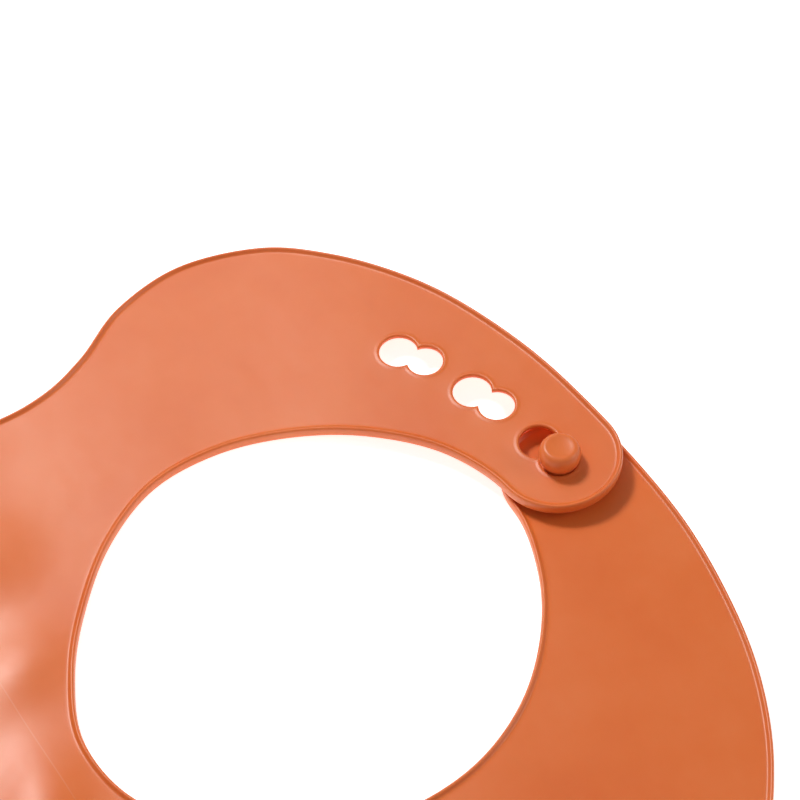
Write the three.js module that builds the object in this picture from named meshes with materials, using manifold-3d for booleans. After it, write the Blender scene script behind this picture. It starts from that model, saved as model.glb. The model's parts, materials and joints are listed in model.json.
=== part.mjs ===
// A silicone baby bib, lying on its back with its collar fastened. Millimetres, +Z up.
// The bib's front faces up, +Y runs from the crumb pocket to the closure behind the neck, and the
// origin is under the middle of the bib. Outlines are given from the centre of the neck hole.
import * as THREE from 'three';
import Module from 'manifold-3d';
import { mergeVertices } from 'three/addons/utils/BufferGeometryUtils.js';

const wasm = await Module();
wasm.setup();

// ---- driving dimensions ----
const NECK_Y = 73.4;              // neck centre, ahead of the origin
const SHEET = 2;                  // thickness of the moulded sheet
const RIM_WIDTH = 2.4;            // rounded bead that runs round every edge
const RIM_HEIGHT = 3;
const GAP = 0.3;                  // running gap between neighbouring pieces

// Right half of the outer outline, from the closure round the shoulder and waist to the bottom.
const HALF_OUTLINE = [
  [0, 79.2], [24, 78], [46, 73], [63, 66.2], [78, 56.5], [89.5, 44.3], [95.5, 26.5], [92.6, 9],
  [84.6, -5], [80.2, -17], [79.8, -31], [84, -57], [92, -95], [100, -132], [103.5, -160],
  [98.5, -188], [80, -212], [44, -223.5], [0, -226],
];
// The neck hole, clockwise from the closure: a circle drawn out at the nape and at the throat.
const NECK_HOLE = [
  [0, 50.6], [16.5, 45.5], [30.1, 35.8], [40.2, 23.2], [45.8, 8.1],
  [45.8, -8.1], [39.9, -23.1], [29.9, -36.9], [16.3, -48.2], [0, -50.6],
  [-14.9, -44.7], [-28.1, -34.8], [-39.2, -22.6], [-46.1, -8.1],
  [-46.1, 8.1], [-40.4, 23.3], [-30.6, 36.4], [-16.9, 46.6],
];
const OUTLINE_STEPS = 240;
const NECK_STEPS = 90;
const TIP_STEPS = 12;
const RIM_SIDES = 8;

// Living hinges, at mid height: each is a line with half angles left free behind and in front.
const FLEX_HEIGHT = RIM_HEIGHT / 2;
const COLLAR_FOLD_Y = -26;        // across the waist
const COLLAR_BEND = [40, 38];
const LOWER_FOLD_Y = -100;        // above the pocket's mouth
const LOWER_BEND = [1, 38];
const STRAP_BEND_ANGLE = 72;      // a radius of the neck hole, from the closure
const KEYHOLE_BEND = [1, 33];
const BUTTON_BEND = [31, 1];

const KEYHOLE_LIFT = 3.9;         // slope that carries the keyhole strap over the button strap
const KEYHOLE_TIP_X = -2.6;       // centres of the two rounded strap ends
const BUTTON_TIP_X = 0.6;
const KEYHOLE_NARROWING = [1, -62, -25];  // the keyhole arm is this much narrower, from x to x
const TAB_ANGLE = 47;             // the keyhole tab slides apart from its strap here
// Each keyhole's small and large circle: its angle from the closure and its distance from the
// neck centre. The button is fastened in the first.
const KEYHOLES = [
  [[1.2, 63.7], [7, 63.6]], [[18.8, 65.2], [24.5, 65.6]], [[35.5, 69.1], [40.8, 70.1]],
];
const SMALL_HOLE_R = 3.9;
const LARGE_HOLE_R = 4.2;
const HOLE_SIDES = 24;

const BUTTON_X = -1.2;
const BUTTON_Y = 63.6;
const FOOT_R = 5;
const FOOT_HEIGHT = 0.6;
const POST_R = 2.3;
const HEAD_R = 4.42;
const HEAD_BOTTOM = 6.7;
const HEAD_HEIGHT = 4.5;
const ROUND_SIDES = 28;

const POCKET_HEIGHT = 42;
const POCKET_MOUTH_Y = -124;      // where the mouth leaves the panel
const POCKET_BACK_Y = -112;       // the dome is drawn to here, past the mouth, and cut back
const POCKET_SLANT = 22;          // how much nearer the bottom the front wall's lip lies
const POCKET_INSET = 6;           // from the outline to the pocket's foot
const POCKET_SHOULDER = 20;       // how far the curved walls lean in
const POCKET_LEVELS = 6;
const POCKET_WALL = 2;
const POCKET_CORNER_X = 62;       // seams between the side walls and the middle
const POCKET_FLOOR_Y = -196;      // seam between the floor and the front wall
const LIP_WIDTH = 4;
const LIP_PROUD = 1;              // how far the lip stands out on both faces of the wall

const FAR = 400;                  // larger than the bib, for cutting tools

const silicone = (colour) => new THREE.MeshStandardMaterial({
  color: colour, roughness: 0.5, metalness: 0,
});
const PANEL_COLOUR = silicone(0xd9693a);
const COLLAR_COLOUR = silicone(0xdf7040);
const BUTTON_COLOUR = silicone(0xdb6c3e);
const POCKET_COLOUR = silicone(0xd46434);

// ---- solids: three.js shapes, joined and cut by manifold ----
function solid(geometry) {
  geometry.deleteAttribute('normal');
  geometry.deleteAttribute('uv');
  const merged = mergeVertices(geometry, 1e-4);
  return new wasm.Manifold(new wasm.Mesh({
    numProp: 3,
    vertProperties: new Float32Array(merged.attributes.position.array),
    triVerts: new Uint32Array(merged.index.array),
  }));
}

function geometryOf(manifold) {
  const { vertProperties, triVerts } = manifold.getMesh();
  const geometry = new THREE.BufferGeometry();
  geometry.setAttribute('position', new THREE.BufferAttribute(vertProperties, 3));
  geometry.setIndex(new THREE.BufferAttribute(triVerts, 1));
  return geometry;
}

function oval(halfX, halfY, sides) {
  const points = [];
  for (let i = 0; i < sides; i += 1) {
    const angle = (i + 0.5) / sides * 2 * Math.PI;
    points.push(new THREE.Vector2(halfX * Math.cos(angle), halfY * Math.sin(angle)));
  }
  return points;
}

function plate(points) {
  const shape = new THREE.Shape(points);
  return solid(new THREE.ExtrudeGeometry(shape, { depth: SHEET, bevelEnabled: false }));
}

// The bead along an edge. Its section is as tall as the rim, whose flats touch the table.
const RIM_SECTION = new THREE.Shape(
  oval(RIM_HEIGHT / 2 / Math.cos(Math.PI / RIM_SIDES), RIM_WIDTH / 2, RIM_SIDES),
);

function rim(points) {
  const route = points.map((p) => new THREE.Vector3(p.x, p.y, RIM_HEIGHT / 2));
  const extrudePath = new THREE.CatmullRomCurve3(route);
  const options = { steps: points.length, extrudePath, bevelEnabled: false };
  return solid(new THREE.ExtrudeGeometry(RIM_SECTION, options));
}

// ---- outlines, clockwise from the bottom ----
function ring(corners, steps) {
  const points = corners.map(([x, y]) => new THREE.Vector3(x, y + NECK_Y, 0));
  const curve = new THREE.CatmullRomCurve3(points, true, 'catmullrom', 0.5);
  const samples = curve.getSpacedPoints(steps).slice(0, -1);
  const bottom = steps / 2;
  return [...samples.slice(bottom), ...samples.slice(0, bottom)]
    .map((p) => new THREE.Vector2(p.x, p.y));
}

// Moves a clockwise line towards its inside.
function inset(points, distance) {
  return points.map((p, i) => {
    const next = points[(i + 1) % points.length];
    const along = next.clone().sub(points.at(i - 1)).normalize();
    return new THREE.Vector2(p.x + along.y * distance, p.y - along.x * distance);
  });
}

// The stretch of a ring below a line, from its right end round the bottom to its left end. A ring
// that was moved in is judged by the one it came from, so that all its stretches match.
function below(points, y, judged = points) {
  const low = points.filter((_, i) => judged[i].y < y);
  const leftCount = judged.findIndex((p) => p.y >= y);
  return [...low.slice(leftCount), ...low.slice(0, leftCount)];
}

const leftHalf = HALF_OUTLINE.slice(1, -1).reverse().map(([x, y]) => [-x, y]);
const outline = ring([...HALF_OUTLINE, ...leftHalf], OUTLINE_STEPS);
const outerLine = inset(outline, RIM_WIDTH / 2);
const neckLine = inset(ring(NECK_HOLE, NECK_STEPS), -RIM_WIDTH / 2);

// ---- cutting tools. A line is [x, y, direction in degrees] ----
const radians = THREE.MathUtils.degToRad;
const COLLAR_LINE = [0, NECK_Y + COLLAR_FOLD_Y, 0];
const LOWER_LINE = [0, NECK_Y + LOWER_FOLD_Y, 0];
const reversed = ([x, y, degrees]) => [x, y, degrees + 180];

function leftOf([x, y, degrees]) {
  const box = new THREE.BoxGeometry(2 * FAR, FAR, FAR).translate(0, FAR / 2, 0);
  return solid(box.rotateZ(radians(degrees)).translate(x, y, 0));
}

const rightOf = (line) => leftOf(reversed(line));

function seam([x, y, degrees]) {
  const box = new THREE.BoxGeometry(FAR, GAP, FAR).rotateZ(radians(degrees));
  return solid(box.translate(x, y, 0));
}

// The room a living hinge needs: a waist as wide as the gap, opening by [back, front] half angles.
function hingeRoom([x, y, degrees], [back, front]) {
  const waist = GAP / 2;
  const behind = waist + RIM_HEIGHT * Math.tan(radians(back));
  const ahead = waist + RIM_HEIGHT * Math.tan(radians(front));
  const section = new THREE.Shape([
    new THREE.Vector2(waist, 0), new THREE.Vector2(ahead, RIM_HEIGHT),
    new THREE.Vector2(-ahead, RIM_HEIGHT), new THREE.Vector2(-waist, 0),
    new THREE.Vector2(-behind, -RIM_HEIGHT), new THREE.Vector2(behind, -RIM_HEIGHT),
  ]);
  const room = new THREE.ExtrudeGeometry(section, { depth: FAR, bevelEnabled: false });
  room.translate(0, 0, -FAR / 2).rotateX(Math.PI / 2).rotateZ(Math.PI / 2);
  return solid(room.rotateZ(radians(degrees)).translate(x, y, FLEX_HEIGHT));
}

// ---- the panels under the neck hole ----
function frontSheet() {
  const top = NECK_Y + COLLAR_FOLD_Y + 2 * RIM_WIDTH;
  const outer = below(outerLine, top);
  const throat = below(neckLine, top).reverse();
  return plate([...outer, ...throat]).add(rim(outer)).add(rim(throat))
    .subtract(hingeRoom(COLLAR_LINE, COLLAR_BEND)).subtract(hingeRoom(LOWER_LINE, LOWER_BEND));
}

const front = frontSheet();
const chestPanel = front.intersect(rightOf(COLLAR_LINE)).intersect(leftOf(LOWER_LINE));
const lowerPanel = front.intersect(rightOf(LOWER_LINE));

// ---- the collar's two arms: side -1 carries the keyholes, side 1 the button ----
// A radius of the neck hole, at an angle from the closure, which is on its left.
const neckRadius = (side, angle) => [0, NECK_Y, side * (90 - angle)];

function arm(side, tipX, [narrowing, from, to]) {
  const start = side * tipX;
  const past = NECK_Y + COLLAR_FOLD_Y - 2 * RIM_WIDTH;
  const wanted = (p) => p.x > start && p.y > past;
  const mirrored = (line) => line.map((p) => new THREE.Vector2(-p.x, p.y)).reverse();
  const facing = (line) => (side > 0 ? line : mirrored(line));
  const outer = facing(outerLine).filter(wanted).map((p) => new THREE.Vector2(
    p.x, p.y - narrowing * THREE.MathUtils.smoothstep(-p.x, from, to),
  ));
  const inner = facing(neckLine).filter(wanted).reverse();
  const radius = (outer[0].y - inner.at(-1).y) / 2;
  const middle = outer[0].y - radius;
  const tip = [];
  for (let i = 1; i < TIP_STEPS; i += 1) {
    const angle = Math.PI * i / TIP_STEPS;
    const x = start - radius * Math.sin(angle);
    tip.push(new THREE.Vector2(x, middle - radius * Math.cos(angle)));
  }
  const edge = [...inner, ...tip, ...outer].map((p) => new THREE.Vector2(side * p.x, p.y));
  return plate(edge).add(rim(edge)).intersect(leftOf(COLLAR_LINE))
    .subtract(hingeRoom(COLLAR_LINE, COLLAR_BEND));
}

// An arm's shoulder and strap, parted at the strap's living hinge.
function partedArm(side, tipX, narrowing, bend) {
  const line = neckRadius(side, STRAP_BEND_ANGLE);
  const whole = arm(side, tipX, narrowing).subtract(hingeRoom(line, bend));
  return { shoulder: whole.intersect(rightOf(line)), strap: whole.intersect(leftOf(line)) };
}

function drill(angle, distance, radius) {
  const x = -distance * Math.sin(radians(angle));
  const y = NECK_Y + distance * Math.cos(radians(angle));
  const cylinder = new THREE.CylinderGeometry(radius, radius, FAR, HOLE_SIDES);
  return solid(cylinder.rotateX(Math.PI / 2).translate(x, y, 0));
}

function keyholeTab(strap, line) {
  let tab = strap.intersect(leftOf(line)).subtract(seam(line));
  for (const [small, large] of KEYHOLES) {
    tab = tab.subtract(drill(...small, SMALL_HOLE_R)).subtract(drill(...large, LARGE_HOLE_R));
  }
  return tab;
}

const keyholeArm = partedArm(-1, KEYHOLE_TIP_X, KEYHOLE_NARROWING, KEYHOLE_BEND);
const buttonArm = partedArm(1, BUTTON_TIP_X, [0, 0, 1], BUTTON_BEND);
const tabLine = neckRadius(-1, TAB_ANGLE);
const tab = keyholeTab(keyholeArm.strap, tabLine);
const keyholeStrap = keyholeArm.strap.intersect(rightOf(tabLine)).subtract(seam(tabLine));

// ---- the button, turned about its own axis ----
function turned(profile) {
  const points = profile.map(([radius, height]) => new THREE.Vector2(radius, height));
  return new THREE.LatheGeometry(points, ROUND_SIDES).rotateX(Math.PI / 2);
}

const postBottom = SHEET + GAP;
const footTop = postBottom + FOOT_HEIGHT;
const postGeometry = turned([
  [0, postBottom], [FOOT_R, postBottom], [FOOT_R - FOOT_HEIGHT / 2, footTop],
  [POST_R + FOOT_HEIGHT / 2, footTop], [POST_R, footTop + FOOT_HEIGHT / 2],
  [POST_R, HEAD_BOTTOM - GAP], [0, HEAD_BOTTOM - GAP],
]);
const headGeometry = turned([
  [0, 0], [0.66, 0], [0.8, 0.06], [0.94, 0.28], [1, 0.52], [0.97, 0.76], [0.9, 0.93],
  [0.79, 1], [0.7, 0.97], [0.45, 0.92], [0, 0.9],
].map(([r, z]) => [r * HEAD_R, HEAD_BOTTOM + z * HEAD_HEIGHT]));

// ---- the crumb pocket: a hollow dome on the lower panel, cut open by a slanted mouth ----
const MOUTH_TILT = Math.atan(POCKET_SLANT / (POCKET_HEIGHT - SHEET));

// Level rings of equal length, joined by quads and closed by two flat caps.
function stacked(rings) {
  const count = rings[0].length;
  const top = (rings.length - 1) * count;
  const flat = rings[0].map((p) => new THREE.Vector2(p.x, p.y));
  const index = [];
  for (const [a, b, c] of THREE.ShapeUtils.triangulateShape(flat, [])) {
    index.push(a, c, b, top + a, top + b, top + c);
  }
  for (let level = 0; level < top; level += count) {
    for (let i = 0; i < count; i += 1) {
      const a = level + i;
      const b = level + (i + 1) % count;
      index.push(a, b, b + count, a, b + count, a + count);
    }
  }
  const geometry = new THREE.BufferGeometry();
  geometry.setAttribute('position', new THREE.BufferAttribute(
    new Float32Array(rings.flat().flatMap((p) => [p.x, p.y, p.z])), 3,
  ));
  geometry.setIndex(index);
  return solid(geometry);
}

// The pocket's outer shape, moved in by depth, and standing on the panel or sunk below its foot.
function dome(depth, sunk) {
  const foot = SHEET + GAP - sunk;
  const rise = POCKET_HEIGHT - depth - foot;
  const rings = [];
  for (let i = 0; i <= POCKET_LEVELS; i += 1) {
    const turn = Math.PI / 2 * i / POCKET_LEVELS;
    const lean = POCKET_INSET + depth + POCKET_SHOULDER * (1 - Math.cos(turn));
    const line = below(inset(outline, lean), NECK_Y + POCKET_BACK_Y, outline).reverse();
    rings.push(line.map((p) => new THREE.Vector3(p.x, p.y, foot + rise * Math.sin(turn))));
  }
  return stacked(rings);
}

const hollowDome = (proud) => dome(-proud, 0).subtract(dome(POCKET_WALL + proud, 1));

function beyondMouth(shift) {
  const box = new THREE.BoxGeometry(FAR, FAR, FAR).translate(0, FAR / 2 + shift, 0);
  return solid(box.rotateX(MOUTH_TILT).translate(0, NECK_Y + POCKET_MOUTH_Y, SHEET));
}

function pocketWalls() {
  const leftSeam = [-POCKET_CORNER_X, 0, 90];
  const rightSeam = [POCKET_CORNER_X, 0, 90];
  const floorSeam = [0, NECK_Y + POCKET_FLOOR_Y, 0];
  const walls = hollowDome(0).subtract(beyondMouth(0))
    .subtract(seam(leftSeam)).subtract(seam(rightSeam));
  const middle = walls.intersect(rightOf(leftSeam)).intersect(leftOf(rightSeam))
    .subtract(seam(floorSeam));
  return {
    pocket_left_side: walls.intersect(leftOf(leftSeam)),
    pocket_right_side: walls.intersect(rightOf(rightSeam)),
    pocket_front: middle.intersect(leftOf(floorSeam)),
    pocket_floor: middle.intersect(rightOf(floorSeam)),
  };
}

const pocketLip = hollowDome(LIP_PROUD)
  .intersect(beyondMouth(GAP)).subtract(beyondMouth(GAP + LIP_WIDTH));

// ---- the assembly ----
const bib = new THREE.Group();

function add(name, geometry, material, parent = bib) {
  const mesh = new THREE.Mesh(geometry, material);
  mesh.name = name;
  parent.add(mesh);
  return mesh;
}

add('chest_panel', geometryOf(chestPanel), PANEL_COLOUR);
add('lower_panel', geometryOf(lowerPanel), PANEL_COLOUR);
for (const [name, wall] of Object.entries(pocketWalls())) {
  add(name, geometryOf(wall), POCKET_COLOUR);
}
add('pocket_lip', geometryOf(pocketLip), POCKET_COLOUR);
add('keyhole_shoulder', geometryOf(keyholeArm.shoulder), COLLAR_COLOUR);
add('button_shoulder', geometryOf(buttonArm.shoulder), COLLAR_COLOUR);
add('button_strap', geometryOf(buttonArm.strap), COLLAR_COLOUR);
for (const [name, geometry] of [['button_post', postGeometry], ['button_head', headGeometry]]) {
  add(name, geometry, BUTTON_COLOUR).position.set(BUTTON_X, NECK_Y + BUTTON_Y, 0);
}

// The keyhole strap slopes up about its living hinge to lie over the button strap.
const raised = new THREE.Group();
const hingeAngle = radians(STRAP_BEND_ANGLE);
const liftAxis = new THREE.Vector3(Math.sin(hingeAngle), -Math.cos(hingeAngle), 0);
raised.position.set(0, NECK_Y, FLEX_HEIGHT);
raised.quaternion.setFromAxisAngle(liftAxis, radians(KEYHOLE_LIFT));
add('keyhole_strap', geometryOf(keyholeStrap), COLLAR_COLOUR, raised)
  .position.set(0, -NECK_Y, -FLEX_HEIGHT);
add('keyhole_tab', geometryOf(tab), COLLAR_COLOUR, raised)
  .position.set(0, -NECK_Y, -FLEX_HEIGHT);
bib.add(raised);

export default bib;
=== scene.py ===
"""A terracotta silicone bib, lying fastened on a pale table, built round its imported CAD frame.

Shapes are worked out in millimetres in the frame's axes and turned into metres when a mesh is made.
Outlines, angles and distances "from the neck centre" start in the middle of the neck hole.
"""
import json
import math

import bpy
import numpy as np
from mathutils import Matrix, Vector
from mathutils.geometry import delaunay_2d_cdt


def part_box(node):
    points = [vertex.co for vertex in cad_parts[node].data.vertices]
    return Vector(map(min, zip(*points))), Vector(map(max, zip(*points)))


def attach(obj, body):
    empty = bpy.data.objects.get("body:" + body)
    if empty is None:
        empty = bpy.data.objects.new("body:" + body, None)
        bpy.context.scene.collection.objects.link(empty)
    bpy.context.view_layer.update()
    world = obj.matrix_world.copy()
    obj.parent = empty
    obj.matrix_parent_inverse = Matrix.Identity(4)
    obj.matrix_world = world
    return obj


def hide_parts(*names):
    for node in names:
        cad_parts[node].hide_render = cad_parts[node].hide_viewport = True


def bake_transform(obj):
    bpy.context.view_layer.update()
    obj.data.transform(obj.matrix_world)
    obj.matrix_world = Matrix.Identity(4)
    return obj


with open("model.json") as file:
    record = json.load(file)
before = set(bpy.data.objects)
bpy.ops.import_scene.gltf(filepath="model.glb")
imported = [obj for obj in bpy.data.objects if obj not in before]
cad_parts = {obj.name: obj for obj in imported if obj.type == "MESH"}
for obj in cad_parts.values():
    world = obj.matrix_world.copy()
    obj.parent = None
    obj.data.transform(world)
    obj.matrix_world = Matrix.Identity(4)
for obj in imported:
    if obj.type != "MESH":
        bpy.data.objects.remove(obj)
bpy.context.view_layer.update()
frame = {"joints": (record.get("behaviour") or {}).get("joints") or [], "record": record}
MM = 0.001

# ---- places that come from the frame ----
JOINTS = {joint["name"]: joint for joint in frame["joints"]}
MOUNTS = {mount["name"]: mount for mount in frame["record"]["mounts"]}
NECK = np.array(MOUNTS["neck_opening"]["pos_m"][:2]) / MM
COLLAR_Y = JOINTS["collar_fold"]["pos_m"][1] / MM
LOWER_Y = JOINTS["lower_fold"]["pos_m"][1] / MM
LIFT_AXIS = JOINTS["keyhole_strap_lift"]["axis"]
BEND_ANGLE = math.degrees(math.atan2(LIFT_AXIS[0], -LIFT_AXIS[1]))
POST_BOX = [np.array(corner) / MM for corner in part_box("button_post")]
HEAD_BOX = [np.array(corner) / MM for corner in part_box("button_head")]
BUTTON = (POST_BOX[0] + POST_BOX[1])[:2] / 2

# ---- the moulding, as in the CAD part ----
SHEET = 2.0                       # thickness
# Right half of the outer outline, from the closure round shoulder and waist to the bottom.
HALF_OUTLINE = [
    (0, 79.2), (24, 78), (46, 73), (63, 66.2), (78, 56.5), (89.5, 44.3), (95.5, 26.5), (92.6, 9),
    (84.6, -5), (80.2, -17), (79.8, -31), (84, -57), (92, -95), (100, -132), (103.5, -160),
    (98.5, -188), (80, -212), (44, -223.5), (0, -226),
]
# The neck hole, clockwise from the closure: a circle drawn out at the nape and at the throat.
NECK_HOLE = [
    (0, 50.6), (16.5, 45.5), (30.1, 35.8), (40.2, 23.2), (45.8, 8.1),
    (45.8, -8.1), (39.9, -23.1), (29.9, -36.9), (16.3, -48.2), (0, -50.6),
    (-14.9, -44.7), (-28.1, -34.8), (-39.2, -22.6), (-46.1, -8.1),
    (-46.1, 8.1), (-40.4, 23.3), (-30.6, 36.4), (-16.9, 46.6),
]
KEYHOLE_TIP_X = -2.6              # centre of the round end of each arm
BUTTON_TIP_X = 0.6
TAB_ANGLE = 47                    # the keyhole tab begins here, from the closure
# Each keyhole's small and large circle: angle from the closure, distance from the neck centre.
KEYHOLES = [((1.2, 63.7), (7, 63.6)), ((18.8, 65.2), (24.5, 65.6)), ((35.5, 69.1), (40.8, 70.1))]
SMALL_HOLE_R = 3.9
LARGE_HOLE_R = 4.2
KEYHOLE_LIFT = 3.9                # degrees that the keyhole strap slopes up
LIFT_EASE = 15                    # the slope begins smoothly, this far either side of the hinge
POCKET_HEIGHT = 42
POCKET_MOUTH_Y = -124             # the mouth's foot, from the neck centre
POCKET_SLANT = 22                 # how far the mouth's top lies further down the bib than its foot
POCKET_INSET = 6                  # from the outline to the wall's foot
POCKET_SHOULDER = 20              # from the wall's foot to the flat front
POCKET_WALL = 2

# ---- how the visible skins differ from the CAD part ----
# How much the keyhole arm narrows, and between which two x.
KEYHOLE_NARROWING = (1.3, -62, -10)
NO_NARROWING = (0, 0, 1)
CROWN_HEIGHT = 2.2                # the pocket's front swells by this much
CROWN_CENTRE, CROWN_REACH = (0, -172), (70, 46)
CROWN_FROM, CROWN_OVER = 30, 12   # the swelling starts at this height and is full after that rise
# Waves of the sheet: height, centre from the neck centre, reach each way, turn in degrees.
WAVES = (
    (1.5, (-22, -53), (8, 12), 25), (2.0, (8, -64), (14, 8), -25), (1.8, (-49, -49), (11, 10), -30),
    (1.2, (-74, -47), (9, 10), 0), (1.2, (52, -60), (20, 16), 20),
)
# The painted highlight under the left of the throat: a lighter line that stands in for light caught along a
# fold, in metres:
# its middle, and the distances from there over which it fades.
FOLD_HIGHLIGHT_X, FOLD_HIGHLIGHT_Y = -0.006, (NECK[1] - 58.1) * MM
FOLD_HIGHLIGHT_LENGTH_FADE = (0.011, 0.02)
FOLD_HIGHLIGHT_WIDTH_FADE = (0.00003, 0.00018)

# ---- fineness ----
CURVE_STEPS = 24                  # in each span of an outline
TIP_STEPS = 60                    # round the end of an arm
RIM_STEP = 1.3                    # along a rim
FILL_STEP = 3.2                   # between the points of a flat region
ROW_SPACING = 0.866               # of a grid of even triangles, in steps
EDGE_SPACING = 0.55               # that the grid keeps from a region's edge, in steps
HOLE_STEPS = 26                   # round each circle of a keyhole
SHARP_ANGLE = 50                  # degrees between faces, past which an edge is left unsmoothed
DOME_LEVELS = 24                  # up the pocket's wall
POCKET_AROUND = 190               # along the pocket's wall
POCKET_ACROSS = 46                # along the mouth
LIP_SIDE_STEPS = 40               # up each side of the mouth
LIP_TOP_STEPS = 60                # along its top
LIP_SIDES = 28                    # round the lip's section
BUTTON_SIDES = 96
BUTTON_CURVE_STEPS = 4            # between the points of the button's profile

# Sections as (depth into the material, height), from the back face round the edge to the front.
RIM_SECTION = [
    (0.9, 0), (0.42, 0.06), (0.13, 0.28), (0.02, 0.65), (0, 1.15), (0, 1.7), (0.05, 2.06),
    (0.13, 2.36), (0.28, 2.55), (0.47, 2.63), (0.66, 2.6), (0.83, 2.47), (0.99, 2.31),
    (1.13, 2.17), (1.28, 2.07), (1.45, 2.02), (1.68, 2.0),
]
RIM_DEPTH = 2.2                   # the flat region begins here
HOLE_SECTION = [
    (1.15, 0), (0.8, 0.25), (0.45, 0.6), (0.16, 0.98), (0.02, 1.35), (0, 1.65), (0.05, 1.9),
    (0.2, 2.07), (0.42, 2.13), (0.7, 2.1), (1.0, 2.02),
]
HOLE_DEPTH = 1.3                  # likewise round a keyhole
# The pocket wall's foot, from the sheet up: how far it stands out, height.
FOOT_FILLET = [(1.5, 1.88), (1.05, 2.05), (0.6, 2.4), (0.28, 3.0), (0.08, 3.9)]
FOOT_TOP = 3.2                    # above the sheet, where the wall's curve takes over
LIP_SINK = 0.5                    # the lip's ends sink into the sheet
# The lip's section: half its thickness, half its width and the middle's distance ahead of the mouth.
LIP_THICK, LIP_WIDE, LIP_AHEAD = 2.05, 2.15, 1.95
LIP_SQUARENESS = 0.72             # 1 is an ellipse, less is squarer
# The button's foot as (radius, height over the sheet) and its post, from the foot's underside.
FOOT_SECTION = [(0, -0.1), (5.5, -0.1), (5.25, 0.12)]
POST_SECTION = [
    (4.9, 0.15), (4.3, 0.35), (3.5, 0.55), (2.8, 1.0), (2.5, 1.5), (2.7, 2.0), (3.2, 2.4), (3.42, 2.8),
]
NECK_UNDER_HEAD = (3.4, -0.4)     # radius, height from the head's underside
# The barrel head with its dimple, as shares of its radius and height.
HEAD_SECTION = [
    (0.84, -0.035), (0.91, 0.05), (0.955, 0.16), (0.985, 0.29), (1.0, 0.44), (0.985, 0.62),
    (0.945, 0.77), (0.88, 0.89), (0.8, 0.965), (0.7, 1.0), (0.58, 0.99), (0.44, 0.965),
    (0.22, 0.945), (0, 0.94),
]


# ---- lines: rows of x, y and the unit direction into the material, which is on the right ----
def catmull_rom(points, per_span=CURVE_STEPS):
    """A smooth closed line through points."""
    before, here, after, later = (np.roll(points, shift, axis=0)[:, None] for shift in (1, 0, -1, -2))
    t = (np.arange(per_span) / per_span)[None, :, None]
    curve = 0.5 * (2 * here + (after - before) * t + (2 * before - 5 * here + 4 * after - later) * t ** 2
                   + (3 * here - before - 3 * after + later) * t ** 3)
    return curve.reshape(-1, 2)


def with_inward(points):
    """The rows of a closed line."""
    along = np.roll(points, -1, axis=0) - np.roll(points, 1, axis=0)
    along /= np.linalg.norm(along, axis=1, keepdims=True)
    return np.column_stack([points, along[:, 1], -along[:, 0]])


def ring(corners):
    """A clockwise closed line through corners that are given from the neck centre."""
    return catmull_rom(np.array(corners, float) + NECK)


def side_of(line, rows):
    """Signed distance of points to the left of a line given as (x, y, direction in degrees)."""
    x, y, degrees = line
    angle = math.radians(degrees)
    return (rows[:, 1] - y) * math.cos(angle) - (rows[:, 0] - x) * math.sin(angle)


def between(row_a, row_b, share):
    """The row at a share of the way from one row to the next."""
    row = row_a + (row_b - row_a) * share
    row[2:] /= np.linalg.norm(row[2:])
    return row


def clipped(rows, line):
    """The first stretch of an open run of rows that lies to the left of a line, ends included."""
    side = side_of(line, rows)
    first = int(np.argmax(side > 0))
    beyond = np.flatnonzero(side[first:] <= 0)
    last = first + beyond[0] - 1 if len(beyond) else len(rows) - 1
    kept = [rows[first:last + 1]]
    if first > 0:
        share = side[first - 1] / (side[first - 1] - side[first])
        kept.insert(0, between(rows[first - 1], rows[first], share)[None])
    if last < len(rows) - 1:
        share = side[last] / (side[last] - side[last + 1])
        kept.append(between(rows[last], rows[last + 1], share)[None])
    return np.concatenate(kept)


def opened(rows, line):
    """A closed line cut open where it is furthest to the right of a line."""
    return np.roll(rows, -int(np.argmin(side_of(line, rows))), axis=0)


def reversed_line(line):
    return line[0], line[1], line[2] + 180


def resampled(rows, step=None, count=None):
    """An open run of rows at even distances, given either the distance or how many rows."""
    distance = np.concatenate([[0], np.cumsum(np.linalg.norm(np.diff(rows[:, :2], axis=0), axis=1))])
    wanted = np.linspace(0, distance[-1], count or max(2, round(distance[-1] / step) + 1))
    out = np.column_stack([np.interp(wanted, distance, column) for column in rows.T])
    out[:, 2:4] /= np.linalg.norm(out[:, 2:4], axis=1, keepdims=True)
    return out


OUTER = with_inward(ring(HALF_OUTLINE + [(-x, y) for x, y in HALF_OUTLINE[-2:0:-1]]))
THROAT = with_inward(ring(NECK_HOLE)[::-1])
COLLAR_LINE = (0, COLLAR_Y, 0)
LOWER_LINE = (0, LOWER_Y, 0)


def neck_radius(side, angle):
    """A radius of the neck hole, at an angle from the closure, which is on its left."""
    return NECK[0], NECK[1], side * (90 - angle)


def mirrored(rows):
    return rows * np.array([-1, 1, -1, 1])


def parted(rows, line):
    """The stretches of an arm's edge before and after a line across it, and the stretch beyond."""
    beyond = clipped(rows, line)
    first = np.argmax(side_of(line, rows) > 0)
    last = len(rows) - np.argmax(side_of(line, rows)[::-1] > 0)
    before = np.concatenate([rows[:first], beyond[:1]])
    after = np.concatenate([beyond[-1:], rows[last:]])
    return before, beyond, after


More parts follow.
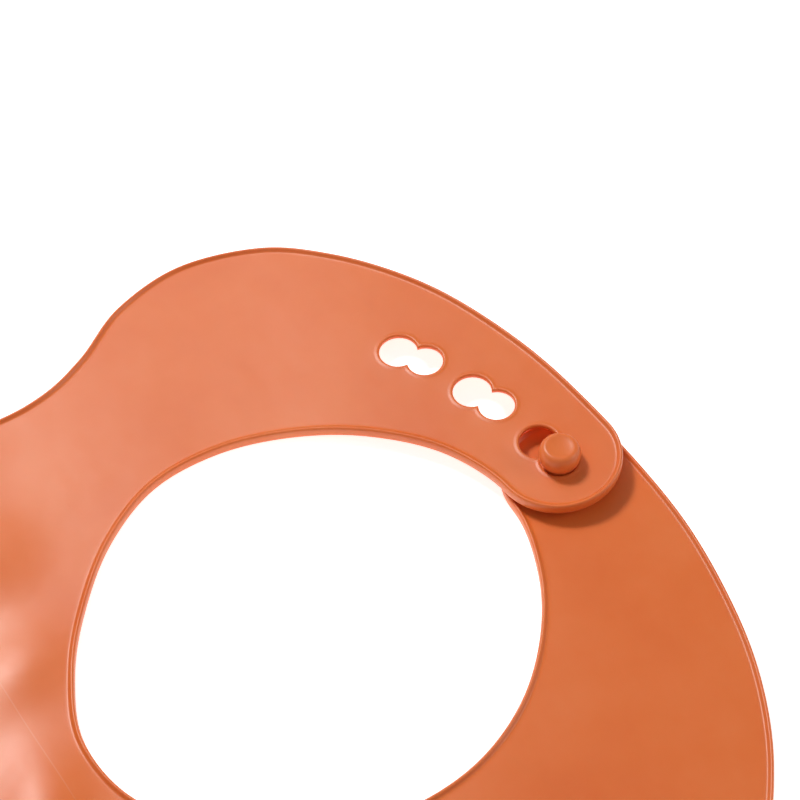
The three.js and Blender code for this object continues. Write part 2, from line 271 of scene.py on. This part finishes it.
def arm_line(side, tip_x, narrowing=NO_NARROWING):
    """The edge of one arm of the collar, from the waist round its tip and back to the waist."""
    start = side * tip_x
    from_start = (start, 0, -90)
    outer, inner = (line if side > 0 else mirrored(line)[::-1] for line in (OUTER, THROAT))
    outer = clipped(clipped(opened(outer, COLLAR_LINE), COLLAR_LINE), from_start)
    inner = clipped(clipped(opened(inner, COLLAR_LINE), COLLAR_LINE), from_start)
    amount, begins, ends = narrowing
    share = np.clip((-outer[:, 0] - begins) / (ends - begins), 0, 1)
    outer[:, 1] -= amount * share ** 2 * (3 - 2 * share)
    top, bottom = outer[0, 1], inner[-1, 1]
    angle = np.linspace(0, math.pi, TIP_STEPS)[1:-1]
    radius = (top - bottom) / 2
    turn = np.column_stack([np.sin(angle), np.cos(angle)])
    tip = np.column_stack([np.array([start, bottom + radius]) - radius * turn, turn])
    rows = np.concatenate([inner, tip, outer])
    return rows if side > 0 else mirrored(rows)[::-1]


# ---- how the sheet lies ----
def smooth_ramp(distance, ease):
    """0 before -ease, distance itself after ease, and a smooth curve between."""
    start = np.clip(distance + ease, 0, 2 * ease)
    return start ** 2 / (4 * ease) + np.maximum(distance - ease, 0)


def strap_lift(x, y):
    """The keyhole strap slopes up from its living hinge to lie over the button strap."""
    distance = side_of(neck_radius(-1, BEND_ANGLE), np.column_stack([x, y]))
    return math.tan(math.radians(KEYHOLE_LIFT)) * smooth_ramp(distance, LIFT_EASE)


def no_lift(x, y):
    return np.zeros_like(x)


def swelling(x, y, centre, reach, turn=0):
    """A smooth swelling of height 1, as wide each way as reach says."""
    angle = math.radians(turn)
    dx, dy = x - centre[0] - NECK[0], y - centre[1] - NECK[1]
    along = (dx * math.cos(angle) + dy * math.sin(angle)) / reach[0]
    across = (dy * math.cos(angle) - dx * math.sin(angle)) / reach[1]
    return np.exp(-(along ** 2 + across ** 2))


def drape(x, y):
    """Gentle waves of the soft sheet on the table, always upward."""
    return sum(height * swelling(x, y, centre, reach, turn) for height, centre, reach, turn in WAVES)


# ---- meshes ----
def inside(points, polygon):
    """Which points lie in a polygon, by counting the edges to their right."""
    x, y = points[:, :1], points[:, 1:]
    ax, ay = polygon[:, 0], polygon[:, 1]
    bx, by = np.roll(ax, -1), np.roll(ay, -1)
    crosses = (ay > y) != (by > y)
    with np.errstate(divide="ignore", invalid="ignore"):
        at = ax + (y - ay) / (by - ay) * (bx - ax)
    return (crosses & (x < at)).sum(axis=1) % 2 == 1


def filled(boundary, holes, step):
    """Triangles over a flat region. The boundary's and the holes' points come first, in order."""
    loops = [boundary, *holes]
    edge_points = np.concatenate(loops)
    low, high = boundary.min(axis=0), boundary.max(axis=0)
    rows = np.arange(low[1], high[1], step * ROW_SPACING)
    grid = np.array([(x + (i % 2) * step / 2, y) for i, y in enumerate(rows)
                     for x in np.arange(low[0], high[0], step)])
    grid = grid[inside(grid, boundary)]
    for hole in holes:
        grid = grid[~inside(grid, hole)]
    nearest = np.array([np.min(np.hypot(*(edge_points - p).T)) for p in grid])
    grid = grid[nearest > step * EDGE_SPACING]
    edges, first = [], 0
    for loop in loops:
        edges += [(first + i, first + (i + 1) % len(loop)) for i in range(len(loop))]
        first += len(loop)
    points = np.concatenate([edge_points, grid])
    made, _, faces, _, _, _ = delaunay_2d_cdt([Vector(p) for p in points], edges, [], 1, 1e-7)
    if len(made) != len(points):
        raise ValueError("the flat region's outline crosses itself")
    faces = np.array([face for face in faces if len(face) == 3])
    centres = points[faces].mean(axis=1)
    keep = inside(centres, boundary)
    for hole in holes:
        keep &= ~inside(centres, hole)
    return points, faces[keep]


def upward(points, triangles):
    """Triangles turned so that they all run anticlockwise, seen from above."""
    a, b, c = (points[triangles[:, k]] for k in range(3))
    turn = (b[:, 0] - a[:, 0]) * (c[:, 1] - a[:, 1]) - (b[:, 1] - a[:, 1]) * (c[:, 0] - a[:, 0])
    return np.where(turn[:, None] > 0, triangles, triangles[:, ::-1])


def at_height(points, height):
    return np.column_stack([points[:, :2], np.full(len(points), height)])


class Skin:
    """The vertices and faces of a mesh, added one run of vertices at a time."""

    def __init__(self):
        self.runs, self.faces, self.total = [], [], 0

    def add(self, vertices):
        """Adds vertices and gives their numbers."""
        self.runs.append(vertices)
        self.total += len(vertices)
        return np.arange(self.total - len(vertices), self.total)

    def vertices(self):
        return np.concatenate(self.runs)


def mesh_object(name, vertices, faces):
    """A smooth-shaded object from vertices in millimetres."""
    mesh = bpy.data.meshes.new(name)
    mesh.from_pydata([tuple(v) for v in np.asarray(vertices) * MM], [], [tuple(map(int, f)) for f in faces])
    mesh.validate()
    mesh.shade_smooth()
    mesh.set_sharp_from_angle(angle=math.radians(SHARP_ANGLE))
    piece = bpy.data.objects.new(name, mesh)
    bpy.context.scene.collection.objects.link(piece)
    return piece


def keyhole_loop(index, depth):
    """The outline of two crossing circles, grown by depth. It has as many points at any depth."""
    small_r, large_r = SMALL_HOLE_R + depth, LARGE_HOLE_R + depth
    small, large = (NECK + away * np.array([-math.sin(math.radians(angle)),
                                            math.cos(math.radians(angle))])
                    for angle, away in KEYHOLES[index])
    apart = np.linalg.norm(large - small)
    facing = math.atan2(*(large - small)[::-1])
    waist_small = math.acos((apart ** 2 + small_r ** 2 - large_r ** 2) / (2 * apart * small_r))
    waist_large = math.acos((apart ** 2 + large_r ** 2 - small_r ** 2) / (2 * apart * large_r))
    loop = []
    for centre, radius, start, span in (
        (small, small_r, facing + waist_small, 2 * (math.pi - waist_small)),
        (large, large_r, facing + math.pi + waist_large, 2 * (math.pi - waist_large)),
    ):
        for angle in start + span * np.arange(HOLE_STEPS) / HOLE_STEPS:
            loop.append(centre + radius * np.array([math.cos(angle), math.sin(angle)]))
    return np.array(loop)


def flat_boundary(rims):
    """The edge of the flat region inside the rims, with the seams that join them.

    Each rim's place in it comes too: its first point, its length and the steps of the next seam.
    """
    boundary, spans, first = [], [], 0
    for rim, following in zip(rims, rims[1:] + rims[:1]):
        edge = rim[:, :2] + rim[:, 2:] * RIM_DEPTH
        gap = following[0, :2] + following[0, 2:] * RIM_DEPTH - edge[-1]
        steps = max(1, round(np.linalg.norm(gap) / FILL_STEP))
        share = (np.arange(1, steps) / steps)[:, None]
        boundary += [edge, edge[-1] + gap * share]
        spans.append((first, len(edge), steps))
        first += len(edge) + steps - 1
    return np.concatenate(boundary), spans


def add_rim(skin, rim, bottom, top):
    """The rounded edge between the flat region's back and front, closed at both ends."""
    columns = [bottom]
    for depth, height in RIM_SECTION:
        columns.append(skin.add(at_height(rim[:, :2] + rim[:, 2:] * depth, height)))
    columns.append(top)
    for low, high in zip(columns, columns[1:]):
        skin.faces += list(zip(low[1:], low[:-1], high[:-1], high[1:]))
    skin.faces.append(tuple(column[0] for column in reversed(columns)))
    skin.faces.append(tuple(column[-1] for column in columns))


def add_keyhole(skin, index, bottom, top):
    """The inner edge of a keyhole."""
    columns = [bottom]
    for depth, height in HOLE_SECTION:
        columns.append(skin.add(at_height(keyhole_loop(index, depth), height)))
    columns.append(top)
    for low, high in zip(columns, columns[1:]):
        skin.faces += list(zip(np.roll(low, -1), low, high, np.roll(high, -1)))


def sheet_piece(name, rims, holes=(), lift=no_lift):
    """A closed piece of the moulded sheet. Its rims run clockwise and are joined by straight seams."""
    rims = [resampled(rim, RIM_STEP) for rim in rims]
    boundary, spans = flat_boundary(rims)
    hole_loops = [keyhole_loop(index, HOLE_DEPTH) for index in holes]
    flat, triangles = filled(boundary, hole_loops, FILL_STEP)
    triangles = upward(flat, triangles)
    skin = Skin()
    bottom = skin.add(at_height(flat, 0))
    top = skin.add(at_height(flat, SHEET))
    skin.faces += list(bottom[triangles[:, ::-1]]) + list(top[triangles])

    for rim, (first, length, steps) in zip(rims, spans):
        own = slice(first, first + length)
        add_rim(skin, rim, bottom[own], top[own])
        seam = np.arange(first + length - 1, first + length + steps) % len(boundary)
        skin.faces += [(b, a, top[a], top[b]) for a, b in zip(seam, seam[1:])]

    first = len(boundary)
    for index, loop in zip(holes, hole_loops):
        own = slice(first, first + len(loop))
        add_keyhole(skin, index, bottom[own], top[own])
        first += len(loop)

    vertices = skin.vertices()
    vertices[:, 2] += lift(vertices[:, 0], vertices[:, 1]) + drape(vertices[:, 0], vertices[:, 1])
    return mesh_object(name, vertices, skin.faces)


# ---- the moulded sheet: the same seven regions as in the frame ----
LEFT_HINGE = neck_radius(-1, BEND_ANGLE)
RIGHT_HINGE = neck_radius(1, BEND_ANGLE)
TAB_LINE = neck_radius(-1, TAB_ANGLE)
below_collar = reversed_line(COLLAR_LINE)
below_lower = reversed_line(LOWER_LINE)

outer_below = clipped(opened(OUTER, below_collar), below_collar)
throat_below = clipped(opened(THROAT, below_collar), below_collar)
right_side = clipped(outer_below, LOWER_LINE)
left_side = mirrored(right_side)[::-1]
outer_low = clipped(outer_below, below_lower)
chest = sheet_piece("chest_skin", [right_side, left_side, throat_below])
lower = sheet_piece("lower_skin", [outer_low])

keyhole_arm = arm_line(-1, KEYHOLE_TIP_X, KEYHOLE_NARROWING)
button_arm = arm_line(1, BUTTON_TIP_X)
left_before, keyhole_part, left_after = parted(keyhole_arm, LEFT_HINGE)
right_before, button_part, right_after = parted(button_arm, RIGHT_HINGE)
strap_before, tab_edge, strap_after = parted(keyhole_part, TAB_LINE)
keyhole_shoulder = sheet_piece("keyhole_shoulder_skin", [left_before, left_after], lift=strap_lift)
button_shoulder = sheet_piece("button_shoulder_skin", [right_before, right_after])
keyhole_strap = sheet_piece("keyhole_strap_skin", [strap_before, strap_after], lift=strap_lift)
keyhole_tab = sheet_piece("keyhole_tab_skin", [tab_edge], holes=(0, 1, 2), lift=strap_lift)
button_strap = sheet_piece("button_strap_skin", [button_part])


# ---- the crumb pocket: a hollow dome whose walls run along the outline, cut by a slanted mouth ----
def mouth_y(z):
    """Where the slanted mouth is, at a height."""
    return NECK[1] + POCKET_MOUTH_Y - POCKET_SLANT * (z - SHEET) / (POCKET_HEIGHT - SHEET)


def crown(points):
    """Swells the pocket's front a little, so that it isn't dead flat."""
    share = np.clip((points[:, 2] - CROWN_FROM) / CROWN_OVER, 0, 1) ** 2
    swell = swelling(points[:, 0], points[:, 1], CROWN_CENTRE, CROWN_REACH)
    points[:, 2] += CROWN_HEIGHT * share * swell
    return points


def pocket_profile(depth):
    """(distance in from the outline, height) from the foot's fillet up to the front."""
    out = 1 if depth == 0 else -1
    profile = [(POCKET_INSET + depth - out * more, z) for more, z in FOOT_FILLET]
    rise = POCKET_HEIGHT - depth - SHEET
    start = math.asin(FOOT_TOP / rise)
    for turn in np.linspace(start, math.pi / 2, DOME_LEVELS):
        profile.append((POCKET_INSET + depth + POCKET_SHOULDER * (1 - math.cos(turn)),
                        SHEET + rise * math.sin(turn)))
    return profile


def pocket_rows(lean, z):
    """The wall's line at a height, from one side of the mouth to the other."""
    rows = OUTER.copy()
    rows[:, :2] += rows[:, 2:] * lean
    line = (0, mouth_y(z), 180)
    return clipped(opened(rows, line), line)


def pocket_shell(depth):
    """One surface of the pocket: its skin, the edge along the mouth and the foot."""
    levels = [(resampled(pocket_rows(lean, z), count=POCKET_AROUND), z)
              for lean, z in pocket_profile(depth)]
    last, top = levels.pop()
    share = (np.arange(1, POCKET_ACROSS) / POCKET_ACROSS)[:, None]
    mouth = last[-1, :2] + (last[0, :2] - last[-1, :2]) * share
    flat, triangles = filled(np.concatenate([last[:, :2], mouth]), [], FILL_STEP)
    skin = Skin()
    rows = [skin.add(at_height(level, z)) for level, z in levels]
    front = skin.add(at_height(flat, top))
    rows.append(front[:POCKET_AROUND])
    skin.faces += [tuple(front[face]) for face in upward(flat, triangles)]
    for low, high in zip(rows, rows[1:]):
        skin.faces += list(zip(low[1:], low[:-1], high[:-1], high[1:]))
    along_mouth = front[POCKET_AROUND:POCKET_AROUND + POCKET_ACROSS - 1]
    edge = [*(row[-1] for row in rows), *along_mouth, *(row[0] for row in reversed(rows))]
    return crown(skin.vertices()), skin.faces, edge, rows[0]


def pocket_skin():
    """The hollow pocket: an outer and an inner surface, joined at the mouth and the foot."""
    outer, faces, edge, foot = pocket_shell(0)
    inner, inner_faces, _, _ = pocket_shell(POCKET_WALL)
    shift = len(outer)
    faces += [tuple(i + shift for i in face[::-1]) for face in inner_faces]
    faces += [(b, a, a + shift, b + shift) for a, b in zip(edge, edge[1:])]
    faces += [(a, b, b + shift, a + shift) for a, b in zip(foot, foot[1:])]
    return mesh_object("pocket_skin", np.concatenate([outer, inner]), faces)


def swept(name, path, frames, section):
    """A closed section carried along an open path, with flat ends."""
    count = len(section)
    vertices = np.concatenate([point + section @ axes for point, axes in zip(path, frames)])
    faces = []
    for i in range(len(path) - 1):
        for k in range(count):
            a, b = i * count + k, i * count + (k + 1) % count
            faces.append((b, a, a + count, b + count))
    faces.append(tuple(range(count)))
    faces.append(tuple(range(len(vertices) - count, len(vertices)))[::-1])
    return mesh_object(name, vertices, faces)


def pocket_lip():
    """A rounded band along the mouth, standing proud of both faces of the wall."""
    half = POCKET_WALL / 2
    side = []
    for turn in np.linspace(0, math.pi / 2, LIP_SIDE_STEPS):
        lean = POCKET_INSET + half + POCKET_SHOULDER * (1 - math.cos(turn))
        z = SHEET + (POCKET_HEIGHT - half - SHEET) * math.sin(turn)
        x, y = pocket_rows(lean, z)[0, :2]
        side.append((x, y, z))
    side = np.array(side)
    side[0, 2] -= LIP_SINK
    top = np.tile(side[-1], (LIP_TOP_STEPS, 1))
    top[:, 0] = np.linspace(side[-1, 0], -side[-1, 0], LIP_TOP_STEPS)
    path = crown(np.concatenate([side, top[1:-1], side[::-1] * (-1, 1, 1)]))
    tilt = math.atan2(POCKET_SLANT, POCKET_HEIGHT - SHEET)
    ahead = np.array([0, math.cos(tilt), math.sin(tilt)])
    along = np.gradient(path, axis=0)
    along -= (along @ ahead)[:, None] * ahead
    along /= np.linalg.norm(along, axis=1, keepdims=True)
    outward = np.cross(along, ahead)
    frames = [np.array([n, ahead]) for n in outward]
    section = []
    for angle in np.linspace(0, 2 * math.pi, LIP_SIDES, endpoint=False):
        c, s = math.cos(angle), math.sin(angle)
        section.append((LIP_THICK * math.copysign(abs(c) ** LIP_SQUARENESS, c),
                        LIP_AHEAD + LIP_WIDE * math.copysign(abs(s) ** LIP_SQUARENESS, s)))
    return swept("pocket_lip_skin", path, frames, np.array(section))


pocket = pocket_skin()
lip = pocket_lip()


# ---- the button ----
def button_skin():
    """Foot, post and barrel head with a dimple, turned as one."""
    foot, under, top = POST_BOX[0][2], HEAD_BOX[0][2], HEAD_BOX[1][2]
    head_r = (HEAD_BOX[1][0] - HEAD_BOX[0][0]) / 2
    profile = [(r, SHEET + z) for r, z in FOOT_SECTION]
    profile += [(r, foot + z) for r, z in POST_SECTION]
    profile.append((NECK_UNDER_HEAD[0], under + NECK_UNDER_HEAD[1]))
    profile += [(r * head_r, under + z * (top - under)) for r, z in HEAD_SECTION]
    ends = np.array([profile[0], profile[-1]])
    closed = np.concatenate([ends[:1] * (-1, 1), profile, ends[1:] * (-1, 1)])
    fine = catmull_rom(closed, BUTTON_CURVE_STEPS)
    fine = fine[BUTTON_CURVE_STEPS + 1:BUTTON_CURVE_STEPS * len(profile)]
    angles = np.linspace(0, 2 * math.pi, BUTTON_SIDES, endpoint=False)
    circle = np.column_stack([np.cos(angles), np.sin(angles)])
    skin = Skin()
    rings = [skin.add(at_height(BUTTON + r * circle, z)) for r, z in fine]
    for low, high in zip(rings, rings[1:]):
        skin.faces += list(zip(low, np.roll(low, -1), np.roll(high, -1), high))
    (below,), (above,) = (skin.add(np.array([(*BUTTON, z)])) for _, z in ends)
    skin.faces += [(b, a, below) for a, b in zip(rings[0], np.roll(rings[0], -1))]
    skin.faces += [(a, b, above) for a, b in zip(rings[-1], np.roll(rings[-1], -1))]
    return mesh_object("button_skin", skin.vertices(), skin.faces)


button = button_skin()


# ---- silicone ----
TERRACOTTA = (0.80, 0.170, 0.031)
PALE = (0.82, 0.190, 0.043)
DEEP = (0.77, 0.150, 0.023)
# Painted highlight: a lighter tone that stands in for light caught along a fold
FOLD_HIGHLIGHT_COLOUR = (0.83, 0.245, 0.09)


def painted_fold_highlight(nodes, links, place, colour):
    """The colour with a painted highlight added: a lighter hairline, straight across under the left of the
    throat, standing in for light caught along a fold.
    """
    def calculated(operation, *terms):
        node = nodes.new("ShaderNodeMath")
        node.operation = operation
        for term, socket in zip(terms, node.inputs):
            links.new(term, socket)
        return node

    def fading(axis, centre, fade):
        """1 near a place on an axis, 0 far from it."""
        offset = calculated("SUBTRACT", split.outputs[axis])
        offset.inputs[1].default_value = centre
        size = calculated("ABSOLUTE", offset.outputs["Value"])
        share = nodes.new("ShaderNodeMapRange")
        share.inputs["From Min"].default_value, share.inputs["From Max"].default_value = fade
        share.inputs["To Min"].default_value = 1
        share.inputs["To Max"].default_value = 0
        links.new(size.outputs["Value"], share.inputs["Value"])
        return share.outputs["Result"]

    split = nodes.new("ShaderNodeSeparateXYZ")
    links.new(place.outputs["Object"], split.inputs["Vector"])
    amount = calculated("MULTIPLY", fading("Y", FOLD_HIGHLIGHT_Y, FOLD_HIGHLIGHT_WIDTH_FADE),
                        fading("X", FOLD_HIGHLIGHT_X, FOLD_HIGHLIGHT_LENGTH_FADE))
    mixed = nodes.new("ShaderNodeMix")
    mixed.data_type = "RGBA"
    factor, own_colour, highlight_colour = (mixed.inputs[i] for i in (0, 6, 7))
    highlight_colour.default_value = (*FOLD_HIGHLIGHT_COLOUR, 1)
    links.new(amount.outputs["Value"], factor)
    links.new(colour, own_colour)
    return mixed.outputs[2]


def silicone(name, with_fold_highlight):
    """Matt-satin moulded silicone: a clouded colour, a soft sheen and a fine mould grain."""
    material = bpy.data.materials.new(name)
    material.use_nodes = True
    nodes, links = material.node_tree.nodes, material.node_tree.links
    shader = nodes["Principled BSDF"]
    place = nodes.new("ShaderNodeTexCoord")

    def clouds(scale, detail, rough):
        noise_node = nodes.new("ShaderNodeTexNoise")
        noise_node.inputs["Scale"].default_value = scale
        noise_node.inputs["Detail"].default_value = detail
        noise_node.inputs["Roughness"].default_value = rough
        links.new(place.outputs["Object"], noise_node.inputs["Vector"])
        return noise_node.outputs["Fac"]

    def relief(strength, distance, height):
        node = nodes.new("ShaderNodeBump")
        node.inputs["Strength"].default_value = strength
        node.inputs["Distance"].default_value = distance
        links.new(height, node.inputs["Height"])
        return node

    ramp = nodes.new("ShaderNodeValToRGB")
    ramp.color_ramp.elements[0].position = 0.3
    ramp.color_ramp.elements[0].color = (*DEEP, 1)
    ramp.color_ramp.elements[1].position = 0.7
    ramp.color_ramp.elements[1].color = (*PALE, 1)
    ramp.color_ramp.elements.new(0.5).color = (*TERRACOTTA, 1)
    links.new(clouds(38, 4, 0.55), ramp.inputs["Fac"])
    colour = ramp.outputs["Color"]
    # Painted highlight along a fold, a lighter hairline mixed into the colour
    if with_fold_highlight:
        colour = painted_fold_highlight(nodes, links, place, colour)
    links.new(colour, shader.inputs["Base Color"])

    gloss = nodes.new("ShaderNodeMapRange")
    gloss.inputs["To Min"].default_value = 0.33
    gloss.inputs["To Max"].default_value = 0.44
    links.new(clouds(160, 5, 0.6), gloss.inputs["Value"])
    links.new(gloss.outputs["Result"], shader.inputs["Roughness"])

    waves = relief(0.25, 0.0006, clouds(70, 2, 0.5))
    grain = relief(0.12, 0.00008, clouds(3200, 3, 0.6))
    links.new(waves.outputs["Normal"], grain.inputs["Normal"])
    links.new(grain.outputs["Normal"], shader.inputs["Normal"])

    shader.inputs["Subsurface Weight"].default_value = 0.12
    shader.inputs["Subsurface Radius"].default_value = (1.0, 0.3, 0.12)
    shader.inputs["Subsurface Scale"].default_value = 0.0006
    shader.inputs["Specular IOR Level"].default_value = 0.55
    return material


for piece, slot, nodes in (
    (chest, "panel_silicone", ["chest_panel"]),
    (lower, "panel_silicone", ["lower_panel"]),
    (keyhole_shoulder, "collar_silicone", ["keyhole_shoulder"]),
    (button_shoulder, "collar_silicone", ["button_shoulder"]),
    (keyhole_strap, "collar_silicone", ["keyhole_strap"]),
    (keyhole_tab, "collar_silicone", ["keyhole_tab"]),
    (button_strap, "collar_silicone", ["button_strap"]),
    (button, "button_silicone", ["button_post", "button_head"]),
    (pocket, "pocket_silicone",
     ["pocket_left_side", "pocket_right_side", "pocket_front", "pocket_floor"]),
    (lip, "pocket_silicone", ["pocket_lip"]),
):
    finish = slot + "_finish"
    # Only the panel's finish gets the painted fold highlight
    piece.data.materials.append(
        bpy.data.materials.get(finish) or silicone(finish, with_fold_highlight=slot == "panel_silicone"))
    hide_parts(*nodes)


def bend_across(piece):
    """Bakes the piece's transform into its mesh."""
    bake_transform(piece)


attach(chest, "chest")
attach(button, "button_strap")
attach(pocket, "lower")
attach(lip, "lower")
bend_across(lower)
bend_across(keyhole_shoulder)
bend_across(button_shoulder)
bend_across(keyhole_strap)
bend_across(keyhole_tab)
bend_across(button_strap)


# ---- table, light and camera, in metres ----
TABLE_SIZE = 6
TABLE_Z = -0.0002                 # just under the bib's back
CAMERA_AZIMUTH, CAMERA_ELEVATION = math.radians(56), math.radians(52)
CAMERA_DISTANCE = 0.483
CAMERA_TARGET = Vector((-0.0372, NECK[1] * MM + 0.0477, 0))


def table_white():
    """A matt white that glows a little, so that the table stays pale."""
    material = bpy.data.materials.new("table_white")
    material.use_nodes = True
    shader = material.node_tree.nodes["Principled BSDF"]
    shader.inputs["Base Color"].default_value = (0.9, 0.9, 0.9, 1)
    shader.inputs["Roughness"].default_value = 0.75
    shader.inputs["Specular IOR Level"].default_value = 0.2
    shader.inputs["Emission Color"].default_value = (1, 1, 1, 1)
    shader.inputs["Emission Strength"].default_value = 0.75
    return material


bpy.ops.mesh.primitive_plane_add(size=TABLE_SIZE, location=(0, 0, TABLE_Z))
table = bpy.context.object
table.name = "table"
table.data.materials.append(table_white())


def aimed(thing, place, target):
    """Puts a lamp or a camera in its place, facing the target."""
    thing.location = place
    thing.rotation_euler = (Vector(target) - Vector(place)).to_track_quat("-Z", "Y").to_euler()


def softbox(name, place, target, size, power, colour):
    """A square lamp, with its size in metres and its power in watts."""
    light = bpy.data.lights.new(name, "AREA")
    light.shape = "SQUARE"
    light.size = size
    light.energy = power
    light.color = colour
    lamp = bpy.data.objects.new(name, light)
    bpy.context.scene.collection.objects.link(lamp)
    aimed(lamp, place, target)


softbox("key", (-0.66, 0.0, 0.9), (0, 0.06, 0), 0.2, 6.9, (1, 0.985, 0.96))
softbox("back", (0.45, 0.75, 0.5), (0, 0.08, 0), 0.4, 1.6, (1, 1, 1))
softbox("sheen", (-0.62, 0.2, 0.7), (-0.05, 0.06, 0), 0.32, 0.75, (1, 1, 1))
softbox("front", (0.5, -0.6, 0.9), (0, 0.05, 0), 0.9, 0.8, (1, 0.99, 0.98))

world = bpy.data.worlds.new("studio")
world.use_nodes = True
backdrop = world.node_tree.nodes["Background"]
backdrop.inputs["Color"].default_value = (1, 1, 1, 1)
backdrop.inputs["Strength"].default_value = 0.25
bpy.context.scene.world = world
bpy.context.scene.view_settings.view_transform = "Standard"

camera = bpy.data.objects.new("camera", bpy.data.cameras.new("camera"))
camera.data.lens = 100
camera.data.sensor_width = 36
camera.data.clip_start = 0.02
bpy.context.scene.collection.objects.link(camera)
towards_camera = Vector((math.sin(CAMERA_AZIMUTH) * math.cos(CAMERA_ELEVATION),
                         -math.cos(CAMERA_AZIMUTH) * math.cos(CAMERA_ELEVATION),
                         math.sin(CAMERA_ELEVATION)))
aimed(camera, CAMERA_TARGET + towards_camera * CAMERA_DISTANCE, CAMERA_TARGET)
bpy.context.scene.camera = camera
